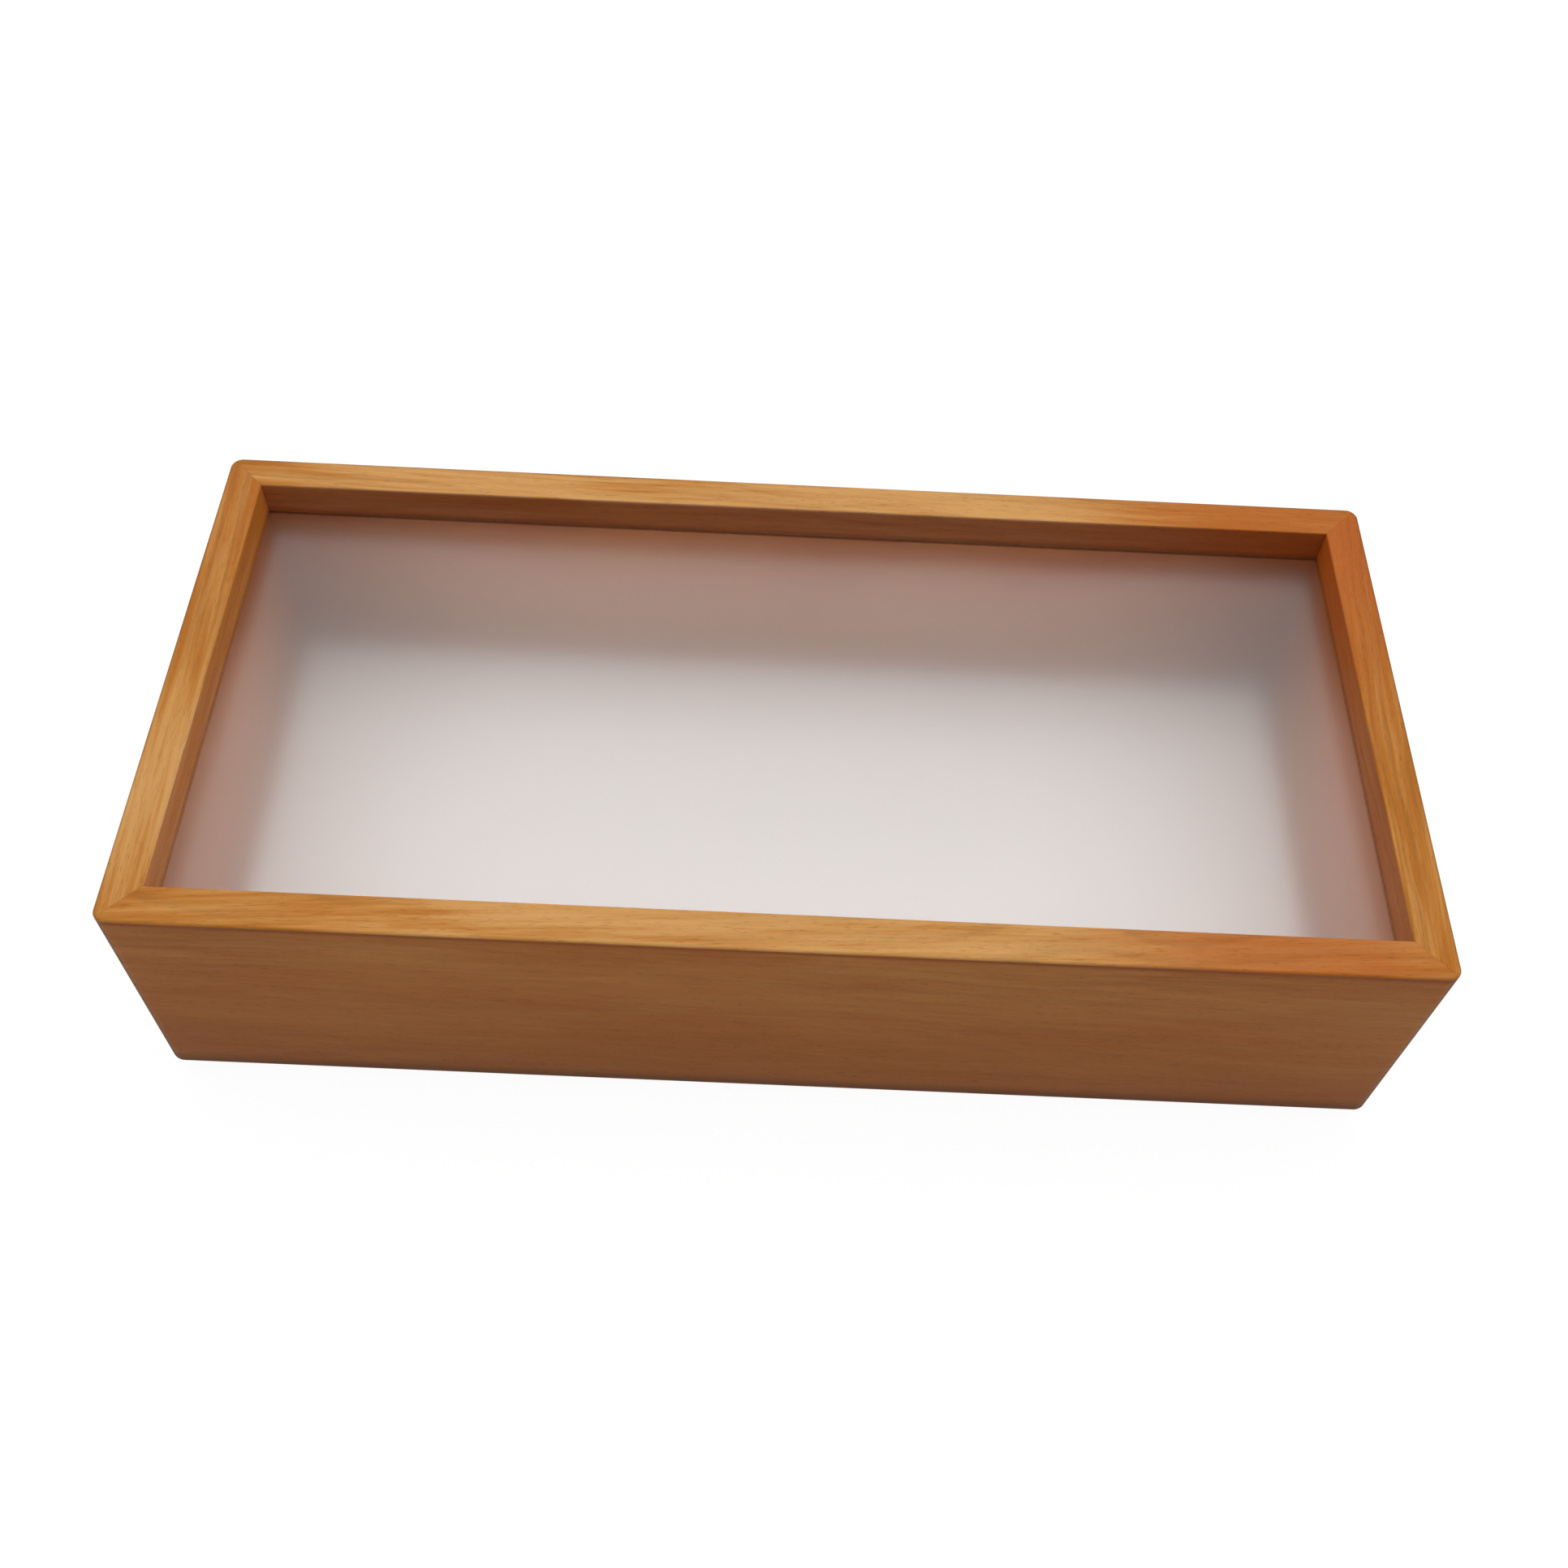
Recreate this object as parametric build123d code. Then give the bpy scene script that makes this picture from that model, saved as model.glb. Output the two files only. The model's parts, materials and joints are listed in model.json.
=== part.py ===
from build123d import *
import os

# A deep shadow box frame in solid wood, lying on its back with the glazing up, in millimetres.
# X runs along the two long rails, Y runs up the frame as it hangs on a wall, and Z points out of the front.
# The origin lies on the surface under the rubber bumpers, below the middle of the frame.
# From the front the stack is: rail lip, glazing, wooden spacers, white display board, hardboard back.

# Outside of the wooden frame
frame_length = 400.0
frame_width = 190.0
frame_depth = 94.0

# Section of a rail: a square lip in front, and a thinner wall beside the rebate behind it
rail_face = 12.5
rebate_wall = 8.0
lip_depth = 13.0
round_over = 4.0
front_arris = 0.9
inner_arris = 0.6

# Pieces in the rebate: sheets with clearance all round, and spacers set just behind the edge of the lip
glazing_thickness = 2.0
display_board_thickness = 3.0
backing_board_thickness = 3.0
backing_recess = 0.1
board_clearance = 0.5
spacer_clearance = 0.1
spacer_set_back = 0.2

# V-shaped nails across the back of each mitre, in the middle of the flat strip beside the rebate
v_nail_leg = 6.0
v_nail_thickness = 0.6
v_nail_height = 10.0

# Rubber bumpers on the backs of the left and right rails, near their ends
bumper_radius = 3.0
bumper_height = 3.5
bumper_from_end = 18.0
bumper_from_outside = 5.0
bumper_edge = 0.9

# Turn buttons that swing over the backing board, one screw each
button_pivot_radius = 3.5
button_tip_radius = 2.4
button_reach = 20.0
button_thickness = 1.2
button_edge = 0.25
button_gap = 0.2
button_from_corner = 85.0
button_from_outside = 5.5

# Pan-head screws of the turn buttons
screw_radius = 1.25
screw_length = 11.0
screw_tip = 2.5
screw_head_radius = 2.6
screw_head_height = 1.3
screw_head_edge = 0.6
screw_head_gap = 0.1
screw_running_clearance = 0.06
recess_length = 2.6
recess_width = 0.6
recess_depth = 0.7

# Ring hangers riveted to the backing board
hanger_from_end = 70.0
hanger_from_top = 42.0
strap_width = 8.0
strap_length = 20.0
strap_thickness = 0.6
strap_end_radius = 2.0
ring_wire_radius = 0.8
ring_clearance = 0.08
ring_half_width = 7.5
ring_side = 1.5
ring_bend = 2.0
rivet_radius = 1.2
rivet_head_radius = 2.4
rivet_head_height = 0.6
rivet_head_edge = 0.3
first_rivet = 6.0
second_rivet = 14.5

# Heights and openings that follow from the sizes above
back_plane = bumper_height
front_plane = back_plane + frame_depth
lip_plane = front_plane - lip_depth
glazing_plane = lip_plane - glazing_thickness
backing_plane = back_plane + backing_recess
display_plane = backing_plane + backing_board_thickness
spacer_plane = display_plane + display_board_thickness
spacer_thickness = rail_face - rebate_wall - spacer_set_back
sight_length = frame_length - 2 * rail_face
sight_width = frame_width - 2 * rail_face
rebate_length = frame_length - 2 * rebate_wall
rebate_width = frame_width - 2 * rebate_wall
nail_line = (round_over + rebate_wall) / 2
cut_beyond = 5.0
on_base = (Align.CENTER, Align.CENTER, Align.MIN)
from_top = (Align.CENTER, Align.CENTER, Align.MAX)

corners = {
    "top_left": (-1, 1),
    "top_right": (1, 1),
    "bottom_left": (-1, -1),
    "bottom_right": (1, -1),
}


# An upright block of a length, width and height, standing on a plane
def block(length, width, height, plane):
    return Pos(0, 0, plane) * Box(length, width, height, align=on_base)


# The edges of a shape that lie in one level plane
def level_edges(shape, plane):
    return shape.edges().filter_by_position(Axis.Z, plane - 0.001, plane + 0.001)


# The four rails as one ring, before the mitres are cut: the upright corners and the back arrises are
# rounded over alike, so each back corner is part of a ball, and the front arrises are only eased
def frame_ring():
    ring = block(frame_length, frame_width, frame_depth, back_plane)
    ring = fillet(ring.edges().filter_by(Axis.Z) + level_edges(ring, back_plane), round_over)
    ring = fillet(level_edges(ring, front_plane), front_arris)
    ring -= block(rebate_length, rebate_width, frame_depth - lip_depth, back_plane)
    sight = block(sight_length, sight_width, frame_depth, back_plane)
    ring -= sight
    rim = level_edges(ring, front_plane)
    inner = [edge for edge in rim if abs(edge.center().X) <= sight_length / 2 + 0.01
             and abs(edge.center().Y) <= sight_width / 2 + 0.01]
    return fillet(inner, inner_arris)


# The mitred length that a rail takes out of the ring: a prism between two 45 degree planes
def mitre_prism(side):
    half_length = frame_length / 2
    half_width = frame_width / 2
    reach = rail_face + cut_beyond
    if side in ("top", "bottom"):
        sign = 1 if side == "top" else -1
        outline = [
            (-half_length - cut_beyond, sign * (half_width + cut_beyond)),
            (half_length + cut_beyond, sign * (half_width + cut_beyond)),
            (half_length - reach, sign * (half_width - reach)),
            (-half_length + reach, sign * (half_width - reach)),
        ]
    else:
        sign = 1 if side == "right" else -1
        outline = [
            (sign * (half_length + cut_beyond), -half_width - cut_beyond),
            (sign * (half_length + cut_beyond), half_width + cut_beyond),
            (sign * (half_length - reach), half_width - reach),
            (sign * (half_length - reach), -half_width + reach),
        ]
    face = Polygon(*outline, align=None)
    prism = extrude(face, frame_depth + 2 * cut_beyond, dir=(0, 0, 1))
    return Pos(0, 0, back_plane - cut_beyond) * prism


# A V-nail with one leg in each rail of a corner, its point on the mitre and its top flush with the back
def v_nail(across, up):
    x = across * (frame_length / 2 - nail_line)
    y = up * (frame_width / 2 - nail_line)
    middle = (v_nail_leg - v_nail_thickness) / 2
    long_leg = Pos(x - across * middle, y) * block(v_nail_leg, v_nail_thickness, v_nail_height, back_plane)
    short_leg = Pos(x, y - up * middle) * block(v_nail_thickness, v_nail_leg, v_nail_height, back_plane)
    return long_leg + short_leg


# A rubber bumper stuck to the back of a short rail, flat where it meets the wall or table
def bumper(across, up):
    x = across * (frame_length / 2 - bumper_from_outside)
    y = up * (frame_width / 2 - bumper_from_end)
    pad = Pos(x, y, 0) * Cylinder(bumper_radius, bumper_height, align=on_base)
    return fillet(level_edges(pad, 0), bumper_edge)


# A strip of wood that stands in the rebate and holds the glazing against the lip
def spacer(side):
    height = glazing_plane - spacer_plane
    if side in ("top", "bottom"):
        sign = 1 if side == "top" else -1
        strip = block(rebate_length - 2 * spacer_clearance, spacer_thickness, height, spacer_plane)
        return Pos(0, sign * (rebate_width - spacer_thickness) / 2) * strip
    sign = 1 if side == "right" else -1
    between = rebate_width - 2 * spacer_thickness - 2 * spacer_clearance
    strip = block(spacer_thickness, between, height, spacer_plane)
    return Pos(sign * (rebate_length - spacer_thickness) / 2, 0) * strip


# A flat sheet that drops into the rebate with clearance all round
def rebate_sheet(thickness, plane):
    length = rebate_length - 2 * board_clearance
    width = rebate_width - 2 * board_clearance
    return block(length, width, thickness, plane)


# Each turn button: its pivot, and the direction it points in while it holds the backing board
def button_places():
    along = frame_length / 2 - button_from_corner
    out_x = frame_length / 2 - button_from_outside
    out_y = frame_width / 2 - button_from_outside
    return {
        "turn_button_top_left": (-along, out_y, -90),
        "turn_button_top_right": (along, out_y, -90),
        "turn_button_bottom_left": (-along, -out_y, 90),
        "turn_button_bottom_right": (along, -out_y, 90),
        "turn_button_left": (-out_x, 0, 0),
        "turn_button_right": (out_x, 0, 180),
    }


# A pressed metal turn button, wide at its pivot and narrow at its tip
def turn_button(x, y, direction):
    outline = make_hull(
        [
            *Circle(button_pivot_radius).edges(),
            *(Pos(button_reach, 0) * Circle(button_tip_radius)).edges(),
        ]
    )
    plate = extrude(outline, -button_thickness)
    plate = fillet(level_edges(plate, -button_thickness), button_edge)
    plate -= Cylinder(screw_radius + screw_running_clearance, 4 * button_thickness)
    return Pos(x, y, back_plane - button_gap) * Rot(0, 0, direction) * plate


# The pilot hole that a turn button's screw fills in the back of a rail
def pilot_hole(x, y):
    depth = screw_length - screw_head_clear()
    return Pos(x, y, back_plane) * Cylinder(screw_radius, depth, align=on_base)


# How far the underside of a screw head stands off the back of the rail
def screw_head_clear():
    return button_gap + button_thickness + screw_head_gap


# A pan-head screw with a cross recess, driven up into the back of a rail
def screw(x, y):
    under_head = back_plane - screw_head_clear()
    straight = screw_length - screw_tip
    head = Cylinder(screw_head_radius, screw_head_height, align=from_top)
    head = fillet(level_edges(head, -screw_head_height), screw_head_edge)
    for turn in (0, 90):
        cross = Box(recess_length, recess_width, recess_depth, align=on_base)
        head -= Pos(0, 0, -screw_head_height) * Rot(0, 0, turn) * cross
    shank = Cylinder(screw_radius, straight, align=on_base)
    point = Pos(0, 0, straight) * Cone(screw_radius, 0, screw_tip, align=on_base)
    return Pos(x, y, under_head) * (head + shank + point)


# Each ring hanger: the middle of its barrel, on the back of the backing board
def hanger_places():
    x = frame_length / 2 - hanger_from_end
    y = frame_width / 2 - hanger_from_top
    return {"left": (-x, y), "right": (x, y)}


# The radius of the rolled barrel, outside, and the height of its axis
def barrel_radius():
    return ring_wire_radius + ring_clearance + strap_thickness


def barrel_axis():
    return backing_plane - barrel_radius()


# A riveted strap whose upper end is rolled round the straight bar of the ring
def hanger_strap(x, y):
    face = Pos(0, -strap_length / 2) * RectangleRounded(strap_width, strap_length, strap_end_radius)
    strap = extrude(face, -strap_thickness)
    strap += Pos(0, -strap_length / 4) * Box(strap_width, strap_length / 2, strap_thickness, align=from_top)
    along_bar = Pos(0, 0, -barrel_radius()) * Rot(0, 90, 0)
    strap += along_bar * Cylinder(barrel_radius(), strap_width)
    strap -= along_bar * Cylinder(ring_wire_radius + ring_clearance, 2 * strap_width)
    for distance in (first_rivet, second_rivet):
        strap -= Pos(0, -distance) * Cylinder(rivet_radius, 4 * strap_thickness)
    return Pos(x, y, backing_plane) * strap


# The two rivets of a strap, headed on the strap and flush with the front of the backing board
def hanger_rivets(x, y):
    length = strap_thickness + backing_board_thickness
    head = Cylinder(rivet_head_radius, rivet_head_height, align=from_top)
    head = fillet(level_edges(head, -rivet_head_height), rivet_head_edge)
    rivet = head + Cylinder(rivet_radius, length, align=on_base)
    under_strap = backing_plane - strap_thickness
    return [Pos(x, y - distance, under_strap) * rivet for distance in (first_rivet, second_rivet)]


# A D-shaped wire ring: straight bar in the barrel, two tight bends, short sides and a round bow
def hanger_ring(x, y):
    bar = ring_half_width - ring_bend
    shoulder = ring_bend + ring_side
    crown = shoulder + ring_half_width
    quarter = ring_bend * (1 - 0.5 ** 0.5)
    path = Wire(
        [
            Line((-bar, 0), (bar, 0)),
            ThreePointArc((bar, 0), (ring_half_width - quarter, quarter), (ring_half_width, ring_bend)),
            Line((ring_half_width, ring_bend), (ring_half_width, shoulder)),
            ThreePointArc((ring_half_width, shoulder), (0, crown), (-ring_half_width, shoulder)),
            Line((-ring_half_width, shoulder), (-ring_half_width, ring_bend)),
            ThreePointArc((-ring_half_width, ring_bend), (-ring_half_width + quarter, quarter), (-bar, 0)),
        ]
    )
    section = Plane(origin=(0, 0, 0), z_dir=(1, 0, 0)) * Circle(ring_wire_radius)
    return Pos(x, y, barrel_axis()) * sweep(section, path=path)


# Every named piece of the frame as a list of its solids
def pieces():
    made = {}
    nails = [v_nail(*corner) for corner in corners.values()]
    holes = [pilot_hole(x, y) for x, y, direction in button_places().values()]
    ring = frame_ring()
    for side in ("top", "bottom", "left", "right"):
        made["rail_" + side] = [(ring & mitre_prism(side)) - nails - holes]
        made["spacer_" + side] = [spacer(side)]
    made["corner_v_nails"] = nails
    made["glazing"] = [rebate_sheet(glazing_thickness, glazing_plane)]
    made["display_board"] = [rebate_sheet(display_board_thickness, display_plane)]
    made["rubber_bumpers"] = [bumper(*corner) for corner in corners.values()]
    made["turn_button_screws"] = [screw(x, y) for x, y, direction in button_places().values()]
    for name, place in button_places().items():
        made[name] = [turn_button(*place)]
    rivets = []
    for side, place in hanger_places().items():
        made["hanger_strap_" + side] = [hanger_strap(*place)]
        made["hanger_ring_" + side] = [hanger_ring(*place)]
        rivets += hanger_rivets(*place)
    made["hanger_rivets"] = rivets
    made["backing_board"] = [rebate_sheet(backing_board_thickness, backing_plane) - rivets]
    return made


os.makedirs("parts", exist_ok=True)
for name, solids in pieces().items():
    shapes = [solid for shape in solids for solid in shape.solids()]
    export_step(Compound(shapes), "parts/" + name + ".step")
    print(name, len(shapes), "solids", round(sum(shape.volume for shape in shapes)), "mm3")
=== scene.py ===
import json
import math

import bmesh
import bpy
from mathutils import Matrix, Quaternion, Vector


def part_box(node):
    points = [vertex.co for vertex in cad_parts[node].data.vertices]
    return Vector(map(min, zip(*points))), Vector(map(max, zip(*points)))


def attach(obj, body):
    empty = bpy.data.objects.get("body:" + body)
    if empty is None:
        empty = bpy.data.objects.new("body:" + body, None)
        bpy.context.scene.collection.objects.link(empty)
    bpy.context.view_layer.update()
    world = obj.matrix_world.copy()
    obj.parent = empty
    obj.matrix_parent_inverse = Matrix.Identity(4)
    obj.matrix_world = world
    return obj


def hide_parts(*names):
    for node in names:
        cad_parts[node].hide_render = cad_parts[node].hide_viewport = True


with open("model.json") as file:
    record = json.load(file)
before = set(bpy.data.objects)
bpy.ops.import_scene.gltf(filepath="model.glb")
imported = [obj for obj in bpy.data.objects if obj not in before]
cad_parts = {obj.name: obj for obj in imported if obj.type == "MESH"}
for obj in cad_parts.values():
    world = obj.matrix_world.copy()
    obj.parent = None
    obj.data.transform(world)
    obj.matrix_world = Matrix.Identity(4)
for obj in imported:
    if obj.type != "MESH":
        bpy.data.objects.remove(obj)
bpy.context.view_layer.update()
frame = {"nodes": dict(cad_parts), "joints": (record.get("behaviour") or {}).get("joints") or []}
print("frame loaded:", len(frame["nodes"]), "nodes")

bpy.context.scene.view_settings.view_transform = "Standard"

mm = 0.001
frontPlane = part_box("rail_top")[1].z
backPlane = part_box("rail_top")[0].z
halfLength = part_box("rail_right")[1].x
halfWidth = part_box("rail_top")[1].y
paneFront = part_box("glazing")[1].z


class Wire:
    # a socket of a shader or geometry tree that can be added, multiplied and fed on to other nodes
    def __init__(self, tree, socket=None):
        self.tree = tree
        self.socket = socket

    def node(self, kind, settings, feeds, out=0):
        made = self.tree.nodes.new(kind)
        for key, value in settings.items():
            if key == "stops":
                fillRamp(made.color_ramp, value)
            elif key == "levels":
                fillCurve(made.mapping, value)
            else:
                setattr(made, key, value)
        for key, value in feeds.items():
            if isinstance(value, Wire):
                self.tree.links.new(value.socket, made.inputs[key])
            else:
                made.inputs[key].default_value = value
        return Wire(self.tree, made.outputs[out] if made.outputs else None)

    def math(self, operation, *values):
        return self.node("ShaderNodeMath", {"operation": operation}, dict(enumerate(values)))

    def __add__(self, other):
        return self.math("ADD", self, other)

    def __radd__(self, other):
        return self.math("ADD", other, self)

    def __sub__(self, other):
        return self.math("SUBTRACT", self, other)

    def __rsub__(self, other):
        return self.math("SUBTRACT", other, self)

    def __mul__(self, other):
        return self.math("MULTIPLY", self, other)

    def __rmul__(self, other):
        return self.math("MULTIPLY", other, self)

    def __truediv__(self, other):
        return self.math("DIVIDE", self, other)


def fillRamp(ramp, stops):
    while len(ramp.elements) < len(stops):
        ramp.elements.new(1)
    for element, (position, level) in zip(ramp.elements, stops):
        element.position = position
        element.color = (level, level, level, 1)


def fillCurve(mapping, levels):
    # straight runs between evenly spaced levels
    points = mapping.curves[0].points
    last = len(levels) - 1
    points[0].location = (0, levels[0])
    points[1].location = (1, levels[last])
    for index in range(1, last):
        points.new(index / last, levels[index])
    for point in points:
        point.handle_type = "VECTOR"
    mapping.update()


def ramp(value, *stops):
    return value.node("ShaderNodeValToRGB", {"stops": stops}, {0: value})


def smooth(value, low, high):
    # 0 below low, 1 above high, and a soft slope between
    feeds = {0: value, 1: low, 2: high, 3: 0.0, 4: 1.0}
    return value.node("ShaderNodeMapRange", {"interpolation_type": "SMOOTHSTEP"}, feeds)


def blend(factor, first, second):
    # a colour between two colours, each a wire or (r, g, b)
    feeds = {0: factor}
    for index, colour in ((6, first), (7, second)):
        feeds[index] = colour if isinstance(colour, Wire) else (*colour, 1)
    return factor.node("ShaderNodeMix", {"data_type": "RGBA"}, feeds, 2)


def shade(colour, factor):
    # a colour made darker or lighter by a wire of plain values
    return colour.node("ShaderNodeVectorMath", {"operation": "SCALE"}, {0: colour, "Scale": factor})


def tinted(colour, tint):
    return colour.node("ShaderNodeVectorMath", {"operation": "MULTIPLY"}, {0: colour, 1: tint})


def under(value, low, high):
    # 1 below low, 0 above high
    return 1 - smooth(value, low, high)


def either(first, second):
    # the larger of two masks
    return first.math("MAXIMUM", first, second)


def noise(vector, scale=1.0, detail=2.0, distortion=0.0, roughness=0.5):
    feeds = {"Vector": vector, "Scale": scale, "Detail": detail, "Distortion": distortion, "Roughness": roughness}
    return vector.node("ShaderNodeTexNoise", {}, feeds)


def bump(height, distance, strength=1.0, below=None):
    feeds = {"Height": height, "Distance": distance, "Strength": strength}
    if below:
        feeds["Normal"] = below
    return height.node("ShaderNodeBump", {}, feeds)


def rayIs(start, kind):
    return start.node("ShaderNodeLightPath", {}, {}, "Is " + kind + " Ray")


def startMaterial(name):
    material = bpy.data.materials.new(name)
    material.use_nodes = True
    material.node_tree.nodes.clear()
    place = Wire(material.node_tree).node("ShaderNodeTexCoord", {}, {}, "Object")
    return material, place


def endMaterial(material, surface):
    surface.node("ShaderNodeOutputMaterial", {}, {"Surface": surface})
    return material


def principled(place, feeds):
    return place.node("ShaderNodeBsdfPrincipled", {}, feeds)


def split(place):
    return [place.node("ShaderNodeSeparateXYZ", {}, {0: place}, axis) for axis in "XYZ"]


def join(place, x, y, z):
    return place.node("ShaderNodeCombineXYZ", {}, {0: x, 1: y, 2: z})


# stained wood: streaks and rings along the grain, pores, a paler front where a sheen is painted, and painted shade
# along the eased edges
wood = {
    "pale": (0.600, 0.285, 0.066),
    "deep": (0.420, 0.142, 0.014),
    "red": (0.425, 0.100, 0.010),
    # the paler colour of the painted sheen on the front faces
    "paintedSheen": (0.610, 0.345, 0.135),
    "ringWidth": 4.2 * mm,
    "ringShape": ((0, 0.1), (0.5, 0.3), (0.82, 1.0), (1.0, 0.1)),
    "ringDepth": 0.17,
    "wander": 7.0 * mm,
    "fibreDepth": 0.24,
    "poreDepth": 0.30,
    "paleness": 0.42,
    "broadShare": 1.9,
    "broadLessOnFront": 1.4,
    "flameShare": 1.6,
    "streakShare": 1.7,
    "sideFigure": 0.48,
    "topFigure": 0.40,
    # how strong the painted sheen on the front faces is
    "sheenPaler": 0.5,
    "paintedSheenLeast": 0.12,
    "paintedSheenMore": 0.32,
    "lowRed": 0.18,
    "lipRed": 0.6,
    # painted shade under the front arris, along the upright corners and along the back edge
    "arrisShadeRed": 0.55,
    "uprightShadeDepth": 0.68,
    "arrisShadeDepth": 0.22,
    "backShadeDepth": 0.60,
    "lowDepth": 0.15,
    # painted shade along the foot of the lip, where it meets the pane
    "footDepth": 0.30,
    "mitreWidth": 0.12 * mm,
    "mitreDepth": 0.16,
    "relief": 0.05 * mm,
    "mitreRelief": 0.10 * mm,
    "roughness": 0.42,
    "coat": 0.04,
    "coatRoughness": 0.32,
    "ior": 1.48,
    "gloss": 0.10,
}
# each pattern in the wood: its scale along the grain and across it, then detail, distortion and roughness
patterns = {
    "wander": (8, 24, 2.0, 0.0, 0.5),
    "patch": (7, 60, 1.0, 0.0, 0.5),
    "flame": (15, 170, 3.0, 0.5, 0.5),
    "streak": (19, 520, 3.0, 0.2, 0.6),
    "fibre": (48, 1600, 3.0, 0.1, 0.65),
    "broad": (7, 30, 2.0, 0.0, 0.5),
    "pore": (230, 4200, 1.0, 0.0, 0.5),
}
# where each mask on a rail fades, in from its front, outside, back, end or pane, and on an inner wall in from
# its corner, along Y and along Z
bands = {
    "front": (0.5 * mm, 1.3 * mm),
    "outside": (0.3 * mm, 0.9 * mm),
    "underArris": (1.2 * mm, 3.6 * mm),
    "upright": (0.8 * mm, 3.6 * mm),
    "backWall": (2.0 * mm, 4.0 * mm),
    "backEdgeShade": (2.0 * mm, 10.5 * mm),
    "rimSide": (0.2 * mm, 1.2 * mm),
    "rimFront": (0.8 * mm, 1.4 * mm),
    "nearTop": (8 * mm, 34 * mm),
    "low": (4 * mm, 60 * mm),
    "lip": (12.2 * mm, 12.45 * mm),
    "lipFoot": (0.6 * mm, 2.6 * mm),
    "paleEnd": (6 * mm, 26 * mm),
    "innerCorner": (12 * mm, 110 * mm),
    "innerTop": (-30 * mm, 60 * mm),
    "innerWall": (backPlane + 20 * mm, paneFront - 4 * mm),
}


def stainedWood(name, cut):
    material, place = startMaterial(name)
    x, y, z = split(place)
    run, side = (x, y) if cut["along"] == "X" else (y, x)
    seed = cut["seed"]

    def grown(pattern, across, up):
        alongScale, acrossScale, detail, distortion, roughness = patterns[pattern]
        vector = join(place, run * alongScale + seed, across * acrossScale, up * acrossScale)
        return noise(vector, 1.0, detail, distortion, roughness)

    # the grain leans and wanders a little as it runs along the rail
    wander = grown("wander", side, z) - 0.5
    grainSide = side + run * cut["lean"][0] + wander * wood["wander"]
    grainUp = z + run * cut["lean"][1] + wander * wood["wander"]

    # growth rings round the heart of the log, which the faces cut as lines and long arches
    fromSide = grainSide - cut["heart"][0]
    fromUp = grainUp - cut["heart"][1]
    fromHeart = wander.math("SQRT", fromSide * fromSide + fromUp * fromUp)
    ringPlace = fromHeart / wood["ringWidth"] + wander * 5
    ring = ramp(ringPlace.math("FRACT", ringPlace), *wood["ringShape"])
    ring = ring * smooth(grown("patch", grainSide, grainUp), 0.38, 0.62)

    flame = grown("flame", grainSide, grainUp)
    streak = grown("streak", grainSide, grainUp)
    fibre = grown("fibre", grainSide, grainUp)
    broad = grown("broad", grainSide, grainUp)
    pore = smooth(grown("pore", grainSide, grainUp), 0.62, 0.72)

    # where on the rail: on its front face, on its outside, near an eased edge, on the mitre
    fromEnd = halfLength - x.math("ABSOLUTE", x)
    fromLong = halfWidth - y.math("ABSOLUTE", y)
    fromOutside = fromEnd.math("MINIMUM", fromEnd, fromLong)
    fromCorner = fromEnd.math("MAXIMUM", fromEnd, fromLong)
    fromFront = frontPlane - z
    onFront = under(fromFront, *bands["front"])
    onOutside = under(fromOutside, *bands["outside"])
    # masks of painted shade: a line under the front arris, the upright corners and the back edge
    underArris = onOutside * (1 - onFront) * under(fromFront, *bands["underArris"])
    uprightShade = (1 - onFront) * under(fromCorner, *bands["upright"])
    backEdgeShade = under(fromOutside, *bands["backWall"]) * under(z - backPlane, *bands["backEdgeShade"])
    # painted shade along the outer rim; on the bottom rail a painted highlight instead
    rimPaintedLight = under(fromOutside, *bands["rimSide"]) * under(fromFront, *bands["rimFront"])
    nearTop = (1 - onFront) * under(fromFront, *bands["nearTop"])
    low = under(z - backPlane, *bands["low"])
    onLip = smooth(fromOutside, *bands["lip"])
    offMitre = fromEnd.math("ABSOLUTE", fromEnd - fromLong)
    mitre = under(offMitre, wood["mitreWidth"] * 0.5, wood["mitreWidth"] * 1.6)

    # a painted sheen makes each front face paler, most along one stretch of it
    middle, fullReach, sheenReach = cut["sheenStretch"]
    sheenStretch = under(run.math("ABSOLUTE", run - middle), fullReach, sheenReach)
    figure = wood["sideFigure"] + onFront * (1 - wood["sideFigure"]) + nearTop * wood["topFigure"]
    figured = ((flame - 0.5) * wood["flameShare"] + (streak - 0.5) * wood["streakShare"]) * figure
    broadShare = wood["broadShare"] - onFront * wood["broadLessOnFront"]
    paleness = wood["paleness"] + (broad - 0.5) * broadShare + figured
    paleness = paleness + (sheenStretch - 0.4) * onFront * wood["sheenPaler"]
    colour = blend(paleness, wood["deep"], wood["pale"])
    # painted sheen: the front face is blended towards a paler colour
    paintedSheen = onFront * (wood["paintedSheenLeast"] + sheenStretch * wood["paintedSheenMore"]) * smooth(paleness, 0.1, 0.9)
    colour = blend(paintedSheen, colour, wood["paintedSheen"])

    # the right end of the frame took a redder stain, and the sides of each rail are redder than its front
    redFrom, redFull, redMost = cut["red"]
    redder = smooth(run + (broad - 0.5) * 0.05, redFrom, redFull) * redMost
    if "paleEnd" in cut:
        redder = redder * (1 - under(fromEnd, *bands["paleEnd"]) * cut["paleEnd"])
    # the painted shade under the front arris is also redder
    sideRedness = low * wood["lowRed"] + onLip * redder * wood["lipRed"] + underArris * wood["arrisShadeRed"]
    sideRedness = sideRedness + cut["redSides"]
    redness = onFront * redder + (1 - onFront) * sideRedness
    colour = blend(redness, colour, wood["red"])

    level = cut["tone"] * (1.03 - ring * wood["ringDepth"] * figure - (fibre - 0.5) * wood["fibreDepth"])
    level = level * (1 - pore * wood["poreDepth"]) * (1 - mitre * wood["mitreDepth"])
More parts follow.
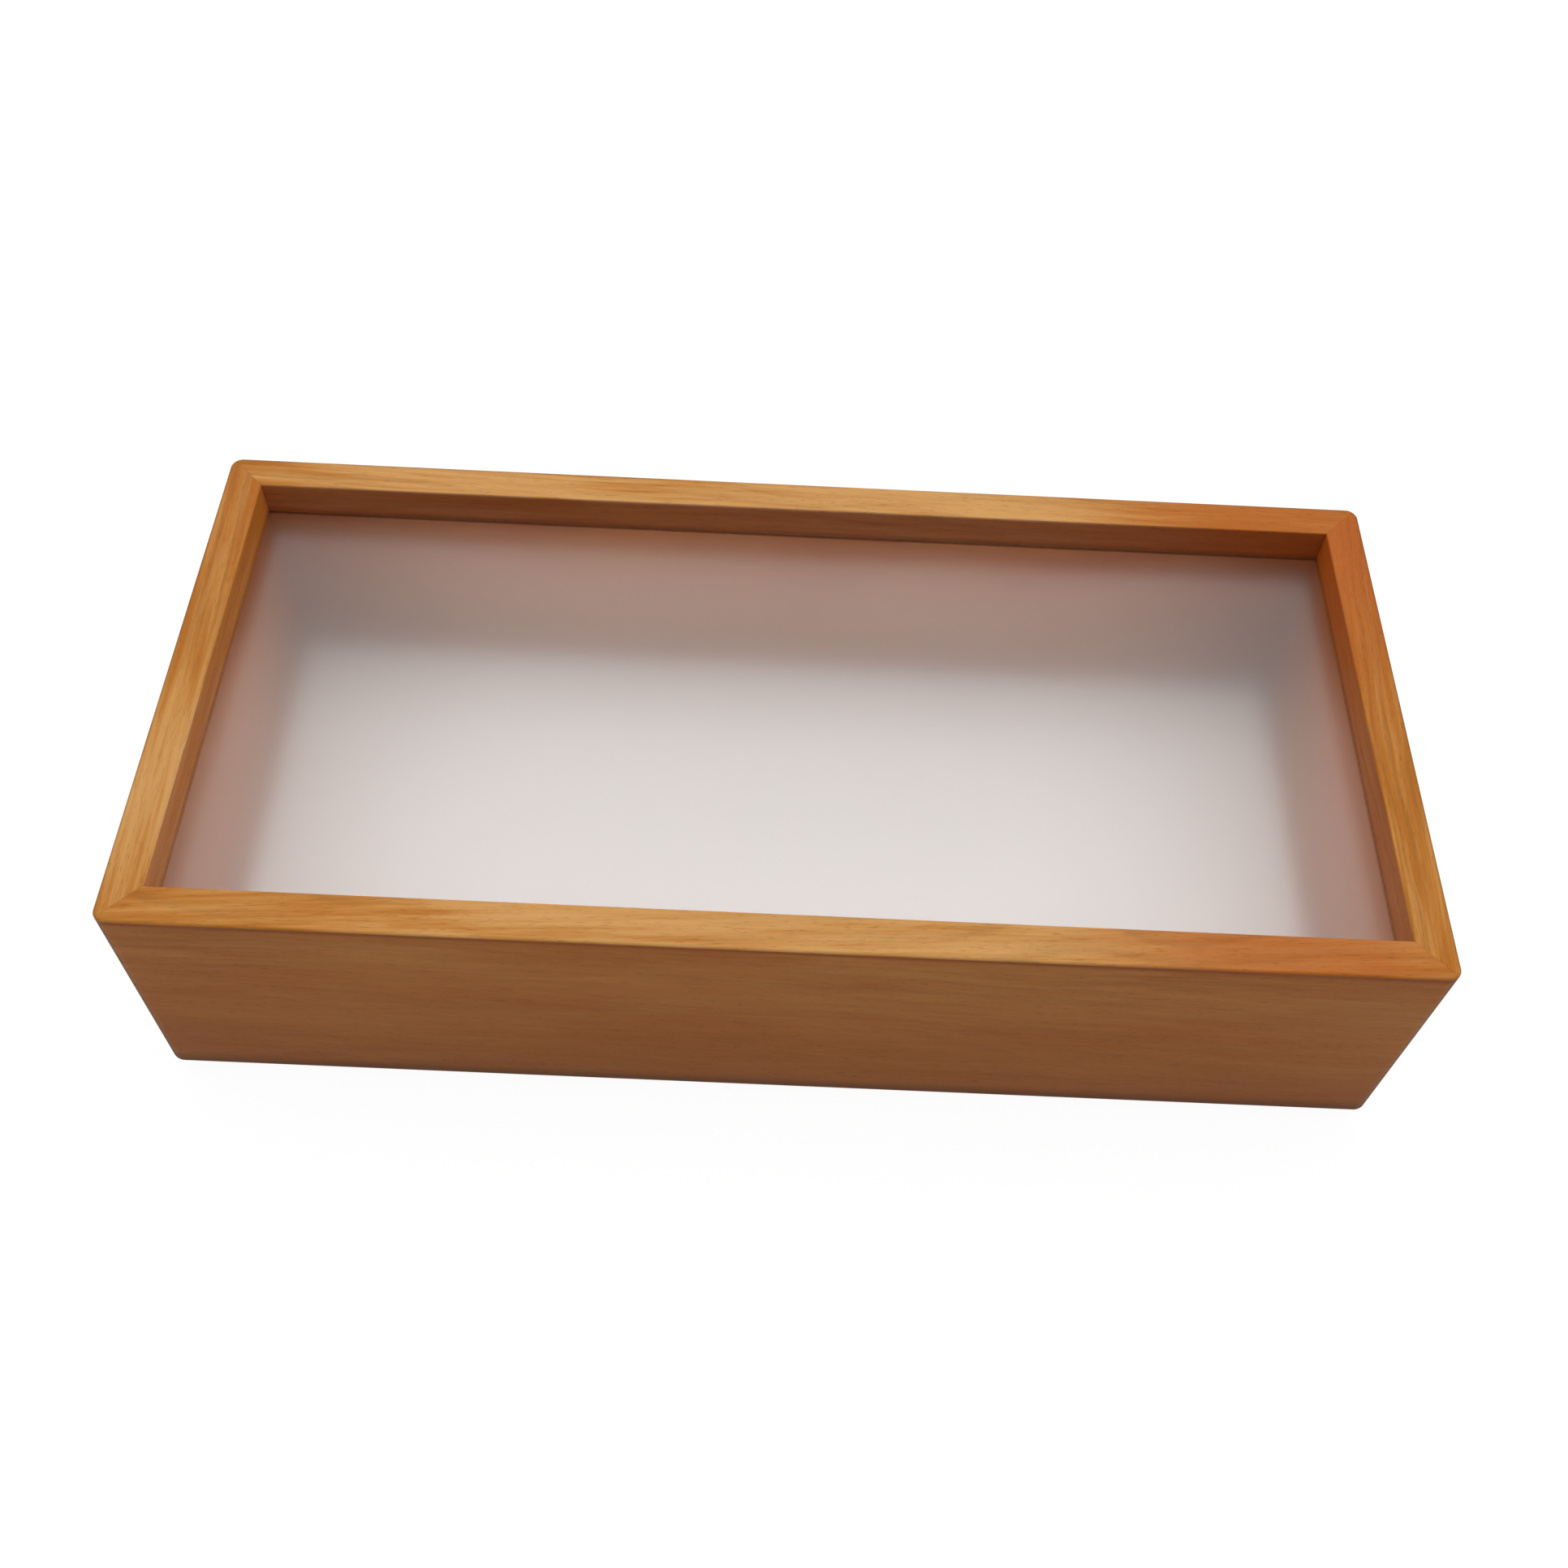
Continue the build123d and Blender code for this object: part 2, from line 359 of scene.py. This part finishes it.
    # painted shade under the arris, at the upright corners and along the back edge; the wood is also darker towards
    # the back
    level = level * (1 - underArris * wood["arrisShadeDepth"]) * (1 - uprightShade * wood["uprightShadeDepth"])
    level = level * (1 - backEdgeShade * wood["backShadeDepth"]) * (1 - low * wood["lowDepth"])
    # painted shade along the outer rim, and a painted highlight there on the bottom rail
    level = level * (1 - rimPaintedLight * cut["rimPaintedLight"])
    if "cornerShadeDepth" in cut:
        # painted shade darkens an inner wall in its upper corners, and painted light tints it from its foot, bluer,
        # to its top, redder
        inCornerShade = under(fromCorner, *bands["innerCorner"]) * smooth(y, *bands["innerTop"])
        level = level * (1 - inCornerShade * cut["cornerShadeDepth"])
        colour = tinted(colour, blend(smooth(z, *bands["innerWall"]), cut["foot"], cut["top"]))
    if "lip" in cut:
        # inside the lip a tint per rail paints its light and shade, and painted shade darkens its foot, where the
        # lip meets the pane
        colour = tinted(colour, blend(onLip, (1, 1, 1), cut["lip"]))
        level = level * (1 - onLip * under(z - paneFront, *bands["lipFoot"]) * wood["footDepth"])
    colour = shade(colour, level)

    relief = bump(fibre * 0.6 + streak * 0.4 - pore * 0.8, wood["relief"], 0.5)
    relief = bump(1 - mitre, wood["mitreRelief"], 0.5, relief)
    feeds = {
        "Base Color": colour,
        "Roughness": wood["roughness"] + (fibre - 0.5) * 0.12 + pore * 0.15 + uprightShade * 0.1,
        "Normal": relief,
        "Coat Weight": wood["coat"],
        "Coat Roughness": wood["coatRoughness"],
        "IOR": wood["ior"],
        "Specular IOR Level": wood["gloss"],
    }
    return endMaterial(material, principled(place, feeds))


# each piece, in metres: the heart of its log (across, up), the lean of its grain, its shade, the middle and reach
# of its stretch of painted sheen, where its redder stain starts and is full and how strong it is, how much painted
# shade lies on its outer rim (a painted highlight when negative), and the tint that paints light and shade inside
# its lip, or at the foot and the top of an inner wall
woodCuts = {
    "rail_bottom": {"along": "X", "heart": (-0.045, 0.030), "lean": (-0.055, 0.012), "seed": 3.1, "tone": 1.005,
                    "sheenStretch": (0.030, 0.11, 0.19), "red": (0.084, 0.135, 0.72), "redSides": 0.46,
                    "paleEnd": 0.50, "rimPaintedLight": -0.10, "lip": (1.0, 1.0, 1.1)},
    "rail_top": {"along": "X", "heart": (0.180, 0.020), "lean": (0.035, 0.015), "seed": 11.7, "tone": 0.98,
                 "sheenStretch": (-0.030, 0.10, 0.19), "red": (0.085, 0.165, 0.62), "redSides": 0.50,
                 "rimPaintedLight": 0.24, "lip": (0.83, 0.80, 1.42)},
    "rail_left": {"along": "Y", "heart": (-0.120, 0.055), "lean": (0.030, -0.020), "seed": 21.3, "tone": 0.965,
                  "sheenStretch": (-0.045, 0.00, 0.06), "red": (0.000, 0.090, 0.25), "redSides": 0.24,
                  "rimPaintedLight": 0.24, "lip": (1.42, 1.50, 2.10)},
    "rail_right": {"along": "Y", "heart": (0.120, 0.035), "lean": (-0.040, 0.030), "seed": 34.9, "tone": 0.985,
                   "sheenStretch": (-0.200, 0.02, 0.10), "red": (-0.030, 0.090, 0.92), "redSides": 0.55,
                   "rimPaintedLight": 0.28, "lip": (1.06, 1.02, 1.15)},
    "spacer_bottom": {"along": "X", "heart": (-0.020, -0.040), "lean": (0.010, 0.015), "seed": 43.2, "tone": 1.03,
                      "sheenStretch": (0.0, 0.1, 0.2), "red": (0.000, 0.200, 0.20), "redSides": 0.40, "rimPaintedLight": 0},
    "spacer_top": {"along": "X", "heart": (0.160, 0.150), "lean": (0.020, -0.015), "seed": 52.8, "tone": 1.03,
                   "sheenStretch": (0.0, 0.1, 0.2), "red": (0.000, 0.200, 0.20), "redSides": 0.40, "rimPaintedLight": 0,
                   "cornerShadeDepth": 0.26, "foot": (1.05, 1.20, 2.35), "top": (1.14, 1.00, 0.80)},
    "spacer_left": {"along": "Y", "heart": (-0.080, 0.140), "lean": (-0.020, 0.020), "seed": 61.5, "tone": 1.03,
                    "sheenStretch": (0.0, 0.1, 0.2), "red": (0.000, 0.090, 0.20), "redSides": 0.40, "rimPaintedLight": 0,
                    "cornerShadeDepth": 0.20, "foot": (1.0, 1.0, 1.0), "top": (1.08, 0.94, 0.78)},
    "spacer_right": {"along": "Y", "heart": (0.080, 0.130), "lean": (0.015, 0.020), "seed": 77.4, "tone": 1.03,
                     "sheenStretch": (0.0, 0.1, 0.2), "red": (0.000, 0.090, 0.20), "redSides": 0.50, "rimPaintedLight": 0,
                     "cornerShadeDepth": 0.30, "foot": (1.0, 1.0, 1.0), "top": (1.07, 0.91, 0.76)},
}
for nodeName, cut in woodCuts.items():
    frame["nodes"][nodeName].data.materials[0] = stainedWood(nodeName + "Wood", cut)
print("wood cut and stained")


# glazing: glass with an etched face, which blurs what lies deeper behind it
glazing = {
    "roughness": 0.295,
    "ior": 1.3,
    "tint": (0.985, 0.99, 0.985),
    "lampTint": (0.92, 0.92, 0.92),
    "film": (0.82, 0.78, 0.755),
    "haze": 0.070,
    "smear": 0.02,
    # painted shade on the haze along the top edge and at the top corners
    "topHazeShade": 0.50,
    "topBand": (halfWidth - 45 * mm, halfWidth - 17 * mm),
    "endHazeShade": 0.72,
    "endBand": (halfLength - 130 * mm, halfLength - 12 * mm),
    "endUp": (-30 * mm, 62 * mm),
}


def etchedGlass():
    material, place = startMaterial("etchedGlass")
    smear = noise(place, 16.0, 2.0, 0.3)
    # painted shade: the haze is thinner along the top edge and towards the top corners, where the lip shades the
    # pane
    x, y = split(place)[:2]
    atTop = smooth(y, *glazing["topBand"]) * glazing["topHazeShade"]
    atEnd = smooth(x.math("ABSOLUTE", x), *glazing["endBand"]) * glazing["endHazeShade"]
    atEnd = atEnd * smooth(y, *glazing["endUp"])
    haze = glazing["haze"] * (1 - either(atTop, atEnd)) + (smear - 0.5) * glazing["smear"]
    seen = {
        "Base Color": (*glazing["tint"], 1),
        "Roughness": glazing["roughness"] + (smear - 0.5) * 0.03,
        "IOR": glazing["ior"],
        "Transmission Weight": 1.0,
    }
    glass = principled(place, seen)
    film = place.node("ShaderNodeBsdfDiffuse", {}, {0: (*glazing["film"], 1)})
    glass = place.node("ShaderNodeMixShader", {}, {0: haze, 1: glass, 2: film})
    clear = place.node("ShaderNodeBsdfTransparent", {}, {0: (*glazing["lampTint"], 1)})
    passed = either(rayIs(place, "Shadow"), rayIs(place, "Diffuse"))
    return endMaterial(material, passed.node("ShaderNodeMixShader", {}, {0: passed, 1: glass, 2: clear}))


frame["nodes"]["glazing"].data.materials[0] = etchedGlass()


# display board: white paper face over board
paper = {"dull": (0.83, 0.82, 0.815), "bright": (0.90, 0.895, 0.89), "roughness": 0.75, "relief": 0.03 * mm}


def whiteBoard():
    material, place = startMaterial("whiteBoard")
    fibres = noise(place, 1800.0, 4.0, 0.4, 0.7)
    cloud = noise(place, 18.0, 2.0)
    colour = blend(cloud * 0.6 + fibres * 0.4, paper["dull"], paper["bright"])
    relief = bump(fibres, paper["relief"], 0.5)
    feeds = {"Base Color": colour, "Roughness": paper["roughness"] + (fibres - 0.5) * 0.1, "Normal": relief}
    return endMaterial(material, principled(place, feeds))


frame["nodes"]["display_board"].data.materials[0] = whiteBoard()


# backing board: pressed hardboard, smooth and speckled with fibres
pressed = {
    "dark": (0.085, 0.032, 0.011),
    "brown": (0.27, 0.130, 0.052),
    "speck": (0.42, 0.25, 0.12),
    "roughness": 0.52,
    "gloss": 0.25,
    "relief": 0.05 * mm,
}


def hardboard():
    material, place = startMaterial("hardboard")
    x, y, z = split(place)
    chips = noise(join(place, x * 500, y * 800, z * 500), 1.0, 5.0, 0.8, 0.7)
    specks = smooth(noise(place, 1500.0, 2.0, 0.5), 0.6, 0.72)
    cloud = noise(place, 14.0, 3.0)
    flakes = smooth(chips, 0.30, 0.66)
    colour = blend(flakes * 0.6 + cloud * 0.4, pressed["dark"], pressed["brown"])
    colour = blend(specks * 0.6, colour, pressed["speck"])
    feeds = {
        "Base Color": colour,
        "Roughness": pressed["roughness"] + chips * 0.18,
        "Normal": bump(chips, pressed["relief"], 0.5),
        "Specular IOR Level": pressed["gloss"],
    }
    return endMaterial(material, principled(place, feeds))


frame["nodes"]["backing_board"].data.materials[0] = hardboard()


# metals: satin plate with fine brushing and dull spots
plates = {
    "zincPlate": {"bright": (0.66, 0.67, 0.68), "dull": (0.46, 0.47, 0.48), "roughness": 0.30,
                  "brushed": (900, 9000, 900)},
    "nickelPlate": {"bright": (0.72, 0.69, 0.64), "dull": (0.52, 0.49, 0.45), "roughness": 0.24,
                    "brushed": (6000, 900, 900)},
    "bareSteel": {"bright": (0.42, 0.42, 0.43), "dull": (0.28, 0.27, 0.27), "roughness": 0.42,
                  "brushed": (3000, 3000, 300)},
}
plateRelief = 0.01 * mm


def platedSteel(name, plate):
    material, place = startMaterial(name)
    brushed = [axis * scale for axis, scale in zip(split(place), plate["brushed"])]
    scratch = noise(join(place, *brushed), 1.0, 3.0, 0.1, 0.6)
    bloom = noise(place, 260.0, 3.0, 0.6)
    spot = smooth(bloom, 0.5, 0.7)
    colour = blend(spot * 0.7 + scratch * 0.3, plate["bright"], plate["dull"])
    rough = plate["roughness"] + spot * 0.16 + (scratch - 0.5) * 0.2
    relief = bump(scratch, plateRelief, 0.4)
    feeds = {"Base Color": colour, "Metallic": 1.0, "Roughness": rough, "Normal": relief}
    return endMaterial(material, principled(place, feeds))


steels = {name: platedSteel(name, plate) for name, plate in plates.items()}
for nodeName, node in frame["nodes"].items():
    if nodeName.startswith("turn_button"):
        node.data.materials[0] = steels["zincPlate"]
    if nodeName.startswith("hanger"):
        node.data.materials[0] = steels["nickelPlate"]
frame["nodes"]["corner_v_nails"].data.materials[0] = steels["bareSteel"]


# rubber: near black, with dust in its grain
rubberLook = {"clean": (0.022, 0.022, 0.023), "dusty": (0.075, 0.073, 0.07), "roughness": 0.62, "relief": 0.02 * mm}


def bumperRubber():
    material, place = startMaterial("bumperRubber")
    grain = noise(place, 2600.0, 3.0)
    dust = smooth(noise(place, 420.0, 3.0), 0.5, 0.7)
    colour = blend(dust * 0.5, rubberLook["clean"], rubberLook["dusty"])
    relief = bump(grain, rubberLook["relief"], 0.5)
    feeds = {"Base Color": colour, "Roughness": rubberLook["roughness"] + dust * 0.2, "Normal": relief}
    return endMaterial(material, principled(place, feeds))


rubber = bumperRubber()
print("glass, board and metal finished")


sunkInHead = 0.1 * mm  # how far a shank reaches into its head
slotTaper = 0.4  # how much narrower a screw's slots are at their floor
mergeWithin = 0.0001 * mm
smoothUnder = 38  # degrees between faces that are shaded smooth


# turned parts: a grid bent round an axis, whose rows follow a profile of shares of a radius and a height
def newTree(name, sizes):
    tree = bpy.data.node_groups.new(name, "GeometryNodeTree")
    tree.interface.new_socket("Places", in_out="INPUT", socket_type="NodeSocketGeometry")
    for size in sizes:
        tree.interface.new_socket(size, in_out="INPUT", socket_type="NodeSocketFloat")
    tree.interface.new_socket("Parts", in_out="OUTPUT", socket_type="NodeSocketGeometry")
    start = Wire(tree)
    given = {size: start.node("NodeGroupInput", {}, {}, size) for size in sizes}
    return start, given


def turned(start, profile, radius, height, rows, columns, thread=None):
    # the profile runs up from the lowest pole, so that the faces point outwards
    counts = {"Size X": 1.0, "Size Y": 1.0, "Vertices X": columns + 1, "Vertices Y": rows + 1}
    grid = start.node("GeometryNodeMeshGrid", {}, counts)
    u, v = split(start.node("GeometryNodeInputPosition", {}, {}))[:2]
    along = v + 0.5
    outAlong = along.node("ShaderNodeFloatCurve", {"levels": [point[0] for point in profile]}, {1: along}) * radius
    upAlong = along.node("ShaderNodeFloatCurve", {"levels": [point[1] for point in profile]}, {1: along}) * height
    turn = (u + 0.5) * (2 * math.pi)
    if thread:
        wave = upAlong / thread["pitch"] - u
        crest = wave.math("ABSOLUTE", wave.math("FRACT", wave) - 0.5) * -2 + 1
        starts, ends = thread["starts"], thread["ends"]
        threaded = smooth(upAlong, height * starts[0], height * starts[1])
        threaded = threaded * under(upAlong, height * ends[0], height * ends[1])
        outAlong = outAlong + crest.math("POWER", crest, thread["sharpness"]) * threaded * thread["depth"]
    bent = join(start, outAlong * turn.math("COSINE", turn), outAlong * turn.math("SINE", turn), upAlong)
    shaped = start.node("GeometryNodeSetPosition", {}, {"Geometry": grid, "Position": bent})
    return start.node("GeometryNodeMergeByDistance", {}, {"Geometry": shaped, "Distance": mergeWithin})


def moved(geometry, up):
    shift = join(geometry, 0.0, 0.0, up)
    return geometry.node("GeometryNodeTransform", {}, {"Geometry": geometry, "Translation": shift})


def crossRecess(start, given):
    # two slots across the lowest face of the head, narrower towards their floor
    slots = []
    for turn in (0.0, math.pi / 2):
        size = join(start, given["recessLength"], given["recessWidth"], given["recessDepth"] * 2)
        slot = start.node("GeometryNodeMeshCube", {}, {"Size": size})
        x, y, z = split(start.node("GeometryNodeInputPosition", {}, {}))
        narrow = 1 - smooth(z, 0.0, given["recessDepth"]) * slotTaper
        tapered = start.node("GeometryNodeSetPosition", {},
                             {"Geometry": slot, "Position": join(start, x * narrow, y * narrow, z)})
        slots.append(start.node("GeometryNodeTransform", {}, {"Geometry": tapered, "Rotation": (0.0, 0.0, turn)}))
    return slots


def combined(start, operation, first, others):
    settings = {"operation": operation, "solver": "EXACT"}
    feeds = {} if first is None else {"Mesh 1": first}
    made = start.node("GeometryNodeMeshBoolean", settings, feeds)
    for other in others:
        start.tree.links.new(other.socket, made.socket.node.inputs["Mesh 2"])
    return made


def plantedTree(start, given, part, material, spin):
    # one copy at each place, each turned by a fixed chance of its own
    places = start.node("NodeGroupInput", {}, {}, "Places")
    chance = start.node("FunctionNodeRandomValue", {"data_type": "FLOAT"}, {2: 0.0, 3: spin, 8: given["seed"]}, 1)
    feeds = {"Points": places, "Instance": part, "Rotation": join(start, 0.0, 0.0, chance)}
    planted = start.node("GeometryNodeInstanceOnPoints", {}, feeds)
    solid = start.node("GeometryNodeRealizeInstances", {}, {0: planted})
    finished = start.node("GeometryNodeSetMaterial", {}, {"Geometry": solid, "Material": material})
    start.node("NodeGroupOutput", {}, {"Parts": finished})
    return start.tree


def plant(name, tree, sizes, places, nodeName):
    # runs the tree over a mesh of points, keeps the result as a plain mesh and hides the CAD node it stands for
    points = bpy.data.meshes.new(name + "Places")
    points.from_pydata(places, [], [])
    holder = bpy.data.objects.new(name + "Holder", points)
    bpy.context.collection.objects.link(holder)
    modifier = holder.modifiers.new(name, "NODES")
    modifier.node_group = tree
    for item in tree.interface.items_tree:
        if item.in_out == "INPUT" and item.name in sizes:
            modifier[item.identifier] = float(sizes[item.name])
    grown = holder.evaluated_get(bpy.context.evaluated_depsgraph_get())
    mesh = bpy.data.meshes.new_from_object(grown)
    mesh.shade_smooth()
    mesh.set_sharp_from_angle(angle=math.radians(smoothUnder))
    bpy.data.objects.remove(holder)
    piece = bpy.data.objects.new(name, mesh)
    bpy.context.collection.objects.link(piece)
    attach(piece, "frame")
    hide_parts(nodeName)


# pan-head screws that the buttons turn on: domed head, cross recess, coarse wood thread and a gimlet point
screws = {
    "headRadius": 2.58 * mm,
    "headHeight": 1.3 * mm,
    "shankRadius": 0.86 * mm,
    "threadDepth": 0.37 * mm,
    "pitch": 1.0 * mm,
    "recessLength": 2.7 * mm,
    "recessWidth": 0.62 * mm,
    "recessDepth": 0.75 * mm,
    "shankLength": 11.1 * mm,
    "seed": 4,
}
# the shares of the shank's length over which the thread grows and runs out
threadRun = {"starts": (0.12, 0.20), "ends": (0.86, 0.99), "sharpness": 3.0}
screwHead = [(0, 0), (0.40, 0.03), (0.66, 0.11), (0.84, 0.26), (0.95, 0.48), (1.0, 0.76), (0.985, 1.0), (0, 1.0)]
screwShank = [(0, 0), (1.35, 0), (1.35, 0.05), (1.0, 0.09), (1.0, 0.3), (1.0, 0.5), (1.0, 0.7), (0.85, 0.82),
              (0.45, 0.92), (0, 1.0)]


def screwTree(material):
    start, given = newTree("panHeadScrew", screws)
    head = turned(start, screwHead, given["headRadius"], given["headHeight"], rows=28, columns=40)
    thread = {"pitch": given["pitch"], "depth": given["threadDepth"], **threadRun}
    widest = max(point[0] for point in screwShank)
    shank = [(radius / widest, up) for radius, up in screwShank]
    shankRadius = given["shankRadius"] * widest
    shank = turned(start, shank, shankRadius, given["shankLength"], rows=99, columns=24, thread=thread)
    shank = moved(shank, given["headHeight"] - sunkInHead)
    whole = combined(start, "UNION", None, [head, shank])
    cut = combined(start, "DIFFERENCE", whole, crossRecess(start, given))
    return plantedTree(start, given, cut, material, math.pi / 2)


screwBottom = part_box("turn_button_screws")[0].z
pivots = [joint["pos_m"] for joint in frame["joints"] if joint["name"].startswith("button")]
screwPlaces = [(place[0], place[1], screwBottom) for place in pivots]
plant("turnButtonScrews", screwTree(steels["zincPlate"]), screws, screwPlaces, "turn_button_screws")


# domed rivets through each hanger strap and the backing board
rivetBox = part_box("hanger_rivets")
rivets = {
    "headRadius": 2.4 * mm,
    "headHeight": 0.6 * mm,
    "shankRadius": 1.19 * mm,
    "shankLength": rivetBox[1].z - rivetBox[0].z - 0.5 * mm,
    "seed": 9,
}
rivetsBelowRing = (6.0 * mm, 14.5 * mm)
rivetHead = [(0, 0), (0.35, 0.03), (0.62, 0.14), (0.82, 0.36), (0.94, 0.66), (1.0, 1.0), (0, 1.0)]
rivetShank = [(0, 0), (1, 0), (1, 0.5), (1, 1), (0, 1)]


def rivetTree(material):
    start, given = newTree("domedRivet", rivets)
    head = turned(start, rivetHead, given["headRadius"], given["headHeight"], rows=24, columns=36)
    shank = turned(start, rivetShank, given["shankRadius"], given["shankLength"], rows=8, columns=24)
    shank = moved(shank, given["headHeight"] - sunkInHead)
    return plantedTree(start, given, combined(start, "UNION", None, [head, shank]), material, math.pi)


rivetPlaces = []
for joint in frame["joints"]:
    if joint["name"].startswith("ring"):
        for distance in rivetsBelowRing:
            rivetPlaces.append((joint["pos_m"][0], joint["pos_m"][1] - distance, rivetBox[0].z))
plant("hangerRivets", rivetTree(steels["nickelPlate"]), rivets, rivetPlaces, "hanger_rivets")


# moulded rubber bumpers: drafted sides, a rounded edge and a dimple in the middle of the foot
bumpers = {"radius": 3.0 * mm, "height": backPlane, "seed": 2}
bumperInset = (5.0 * mm, 18.0 * mm)
bumperProfile = [(0, 0.10), (0.16, 0.09), (0.30, 0.03), (0.40, 0), (0.62, 0), (0.76, 0.03), (0.88, 0.12),
                 (0.94, 0.28), (0.96, 0.60), (0.98, 0.9), (1.0, 0.94), (1.0, 1.0), (0, 1.0)]


def bumperTree(material):
    start, given = newTree("mouldedBumper", bumpers)
    pad = turned(start, bumperProfile, given["radius"], given["height"], rows=48, columns=40)
    return plantedTree(start, given, pad, material, math.pi)


bumperX = halfLength - bumperInset[0]
bumperY = halfWidth - bumperInset[1]
bumperPlaces = [(across * bumperX, up * bumperY, 0) for across in (-1, 1) for up in (-1, 1)]
plant("rubberBumpers", bumperTree(rubber), bumpers, bumperPlaces, "rubber_bumpers")
print("screws, rivets and bumpers made")


# stage: a pale floor, open under the box and from below, so that the back can be looked at too
stage = {
    "reach": 4.0,
    "holeInset": 12 * mm,
    "seenWhite": 0.88,
    "glossWhite": 0.40,
    "white": 1.08,
    "floorColour": 0.62,
    "gapInset": 3.1 * mm,
    "gapCorner": 12 * mm,
    "gapBlur": 0.5 * mm,
    "gapColour": (0.10, 0.055, 0.03),
}


def paleFloor():
    material, place = startMaterial("paleFloor")
    # the strip under the edge of the box lies in deep shade
    x, y = split(place)[:2]
    pastX = either(x.math("ABSOLUTE", x) - (halfLength - stage["gapInset"] - stage["gapCorner"]), x * 0)
    pastY = either(y.math("ABSOLUTE", y) - (halfWidth - stage["gapInset"] - stage["gapCorner"]), x * 0)
    fromStrip = x.math("SQRT", pastX * pastX + pastY * pastY)
    outside = smooth(fromStrip, stage["gapCorner"] - stage["gapBlur"], stage["gapCorner"])
    colour = blend(outside, stage["gapColour"], (stage["floorColour"],) * 3)
    lit = place.node("ShaderNodeBsdfDiffuse", {}, {0: colour})
    white = place.node("ShaderNodeEmission", {}, {0: (1, 1, 1, 1), 1: stage["white"]})
    clear = place.node("ShaderNodeBsdfTransparent", {}, {})
    seen = either(rayIs(place, "Camera") * stage["seenWhite"],
                  either(rayIs(place, "Glossy"), rayIs(place, "Transmission")) * stage["glossWhite"]) * outside
    top = seen.node("ShaderNodeMixShader", {}, {0: seen, 1: lit, 2: white})
    # from below, and for light under the box, there is no floor
    gone = either(place.node("ShaderNodeNewGeometry", {}, {}, "Backfacing"),
                  (1 - outside) * (1 - rayIs(place, "Camera")))
    return endMaterial(material, gone.node("ShaderNodeMixShader", {}, {0: gone, 1: top, 2: clear}))


def makeFloor():
    shape = bmesh.new()
    inner = (halfLength - stage["holeInset"], halfWidth - stage["holeInset"])
    outer = (stage["reach"], stage["reach"])
    rings = []
    for reachX, reachY in (inner, outer):
        corners = [(-reachX, -reachY), (reachX, -reachY), (reachX, reachY), (-reachX, reachY)]
        rings.append([shape.verts.new((x, y, 0)) for x, y in corners])
    for index in range(4):
        after = (index + 1) % 4
        shape.faces.new([rings[1][index], rings[1][after], rings[0][after], rings[0][index]])
    mesh = bpy.data.meshes.new("floor")
    shape.to_mesh(mesh)
    shape.free()
    mesh.materials.append(paleFloor())
    floor = bpy.data.objects.new("floor", mesh)
    bpy.context.collection.objects.link(floor)
    return floor


makeFloor()


# light: a dim even room, a broad lamp high behind the box, one overhead, and one below for views of the back
lamps = {
    "behind": {"place": (0.0, 1.05, 1.35), "aim": (0.0, 0.0, 0.08), "size": (1.9, 0.9), "glow": 1.25},
    "overhead": {"place": (0.0, 0.2, 1.9), "aim": (0.0, 0.0, 0.05), "size": (4.4, 1.2), "glow": 1.85},
    "under": {"place": (0.0, 0.0, -1.2), "aim": (0.0, 0.0, 0.0), "size": (1.2, 1.2), "glow": 1.0},
}
room = {"dim": 0.37, "seen": 1.0}


def hangLamp(name, lamp):
    data = bpy.data.lights.new(name, "AREA")
    data.shape = "RECTANGLE"
    data.size, data.size_y = lamp["size"]
    data.energy = lamp["glow"] * math.pi * data.size * data.size_y
    light = bpy.data.objects.new(name, data)
    bpy.context.collection.objects.link(light)
    light.location = lamp["place"]
    towards = Vector(lamp["aim"]) - light.location
    light.rotation_euler = towards.to_track_quat("-Z", "Y").to_euler()


for lampName, lampSettings in lamps.items():
    hangLamp(lampName, lampSettings)


def lightRoom():
    world = bpy.data.worlds.new("room")
    world.use_nodes = True
    world.node_tree.nodes.clear()
    start = Wire(world.node_tree)
    seen = either(rayIs(start, "Camera"), either(rayIs(start, "Glossy"), rayIs(start, "Transmission")))
    strength = room["dim"] + seen * (room["seen"] - room["dim"])
    glow = start.node("ShaderNodeBackground", {}, {0: (1, 1, 1, 1), 1: strength})
    start.node("ShaderNodeOutputWorld", {}, {"Surface": glow})
    bpy.context.scene.world = world


lightRoom()
print("lamps hung")


# camera: above the near long side, looking down and a little tilted
view = {
    "place": (-6.06 * mm, -336.2 * mm, frontPlane + 425.2 * mm),
    "down": 54.755,
    "turn": 1.055,
    "roll": 3.402,
    "lens": 38.467,
    "sensor": 36.0,
    "clip": (0.01, 50),
}


def placeCamera():
    data = bpy.data.cameras.new("camera")
    data.sensor_width = view["sensor"]
    data.lens = view["lens"]
    data.clip_start, data.clip_end = view["clip"]
    camera = bpy.data.objects.new("camera", data)
    bpy.context.collection.objects.link(camera)
    down = math.radians(view["down"])
    turn = math.radians(view["turn"])
    ahead = Vector((math.cos(down) * math.sin(turn), math.cos(down) * math.cos(turn), -math.sin(down)))
    level = ahead.to_track_quat("-Z", "Y")
    camera.rotation_mode = "QUATERNION"
    camera.rotation_quaternion = level @ Quaternion((0, 0, 1), math.radians(view["roll"]))
    camera.location = view["place"]
    bpy.context.scene.camera = camera


placeCamera()
print("camera placed")
